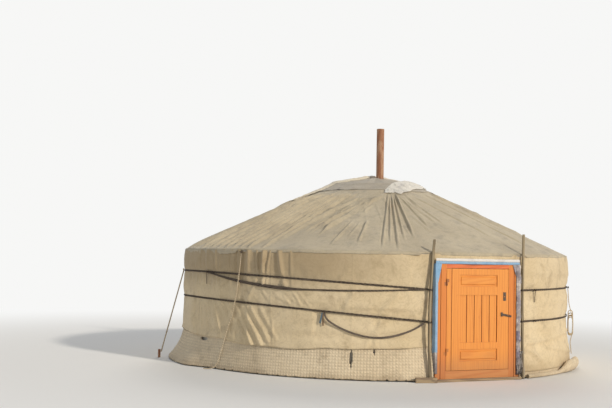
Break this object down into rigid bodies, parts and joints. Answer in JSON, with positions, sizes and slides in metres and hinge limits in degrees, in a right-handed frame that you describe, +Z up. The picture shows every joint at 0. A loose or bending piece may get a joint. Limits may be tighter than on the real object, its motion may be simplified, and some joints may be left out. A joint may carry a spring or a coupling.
{
  "type": "yurt",
  "caption": "Round lattice-walled felt tent with a canvas cover, shallow cone roof, crown wheel, chimney pipe and one outward-opening panelled wooden door.",
  "frame": {"origin": "middle of the round floor plan, at ground level", "axes": "+Z is up, the door faces -Y, and +X is to the right when facing the door from outside"},
  "size_m": [6.329, 5.9457, 3.53],
  "materials": {
    "canvas": "weathered cotton canvas",
    "quilted_canvas": "quilted canvas, soiled at the foot",
    "felt": "pressed wool felt",
    "lattice_wood": "orange-red painted wood",
    "door_wood": "orange varnished pine",
    "bare_wood": "weathered grey timber",
    "bare_pole": "peeled pole, weathered",
    "galvanised": "dull sheet steel",
    "rusty_steel": "rusted sheet steel",
    "hinge_steel": "dull steel",
    "lock_steel": "tarnished steel",
    "belt_rope": "dark horsehair rope",
    "guy_rope": "dry hemp rope",
    "blue_cloth": "faded light blue cotton",
    "strap_webbing": "flat woven strap"
  },
  "bodies": {
    "root": {"base_timber": "bare_wood", "chimney": "rusty_steel", "chimney_plate": "galvanised", "crown_cover": "canvas", "crown_flap": "canvas", "crown_posts": "lattice_wood", "crown_wheel": "lattice_wood", "door_edging": "blue_cloth", "door_head": "door_wood", "door_jamb_left": "door_wood", "door_jamb_right": "door_wood", "door_lintel": "lattice_wood", "door_poles": "bare_pole", "door_sill": "door_wood", "felt_over_door": "felt", "felt_wall": "felt", "front_rope": "guy_rope", "ground_sill": "bare_wood", "guy_ropes": "guy_rope", "hanging_strap": "strap_webbing", "hank_rope": "guy_rope", "hem_bundle": "quilted_canvas", "hinge_pins": "hinge_steel", "knots": "belt_rope", "lattice_wall_1": "lattice_wood", "lattice_wall_2": "lattice_wood", "lattice_wall_3": "lattice_wood", "lattice_wall_4": "lattice_wood", "lattice_wall_5": "lattice_wood", "middle_belt": "belt_rope", "roof_canvas": "canvas", "roof_felt": "felt", "roof_poles": "lattice_wood", "rope_hank": "guy_rope", "skirt": "quilted_canvas", "stakes": "rusty_steel", "strap_tails": "strap_webbing", "upper_belt": "belt_rope", "wall_canvas": "canvas"},
    "door": {"door_leaf": "door_wood", "door_panels": "door_wood", "door_slats": "door_wood", "hinge_knuckles": "hinge_steel", "lock_plate": "lock_steel", "hasp": "lock_steel"}
  },
  "joints": [
    {"name": "door_hinge", "type": "hinge", "parent": "root", "child": "door", "pos_m": [-0.4725, -2.889, 0], "axis": [0, 0, -1], "range_deg": [0, 95]}
  ]
}
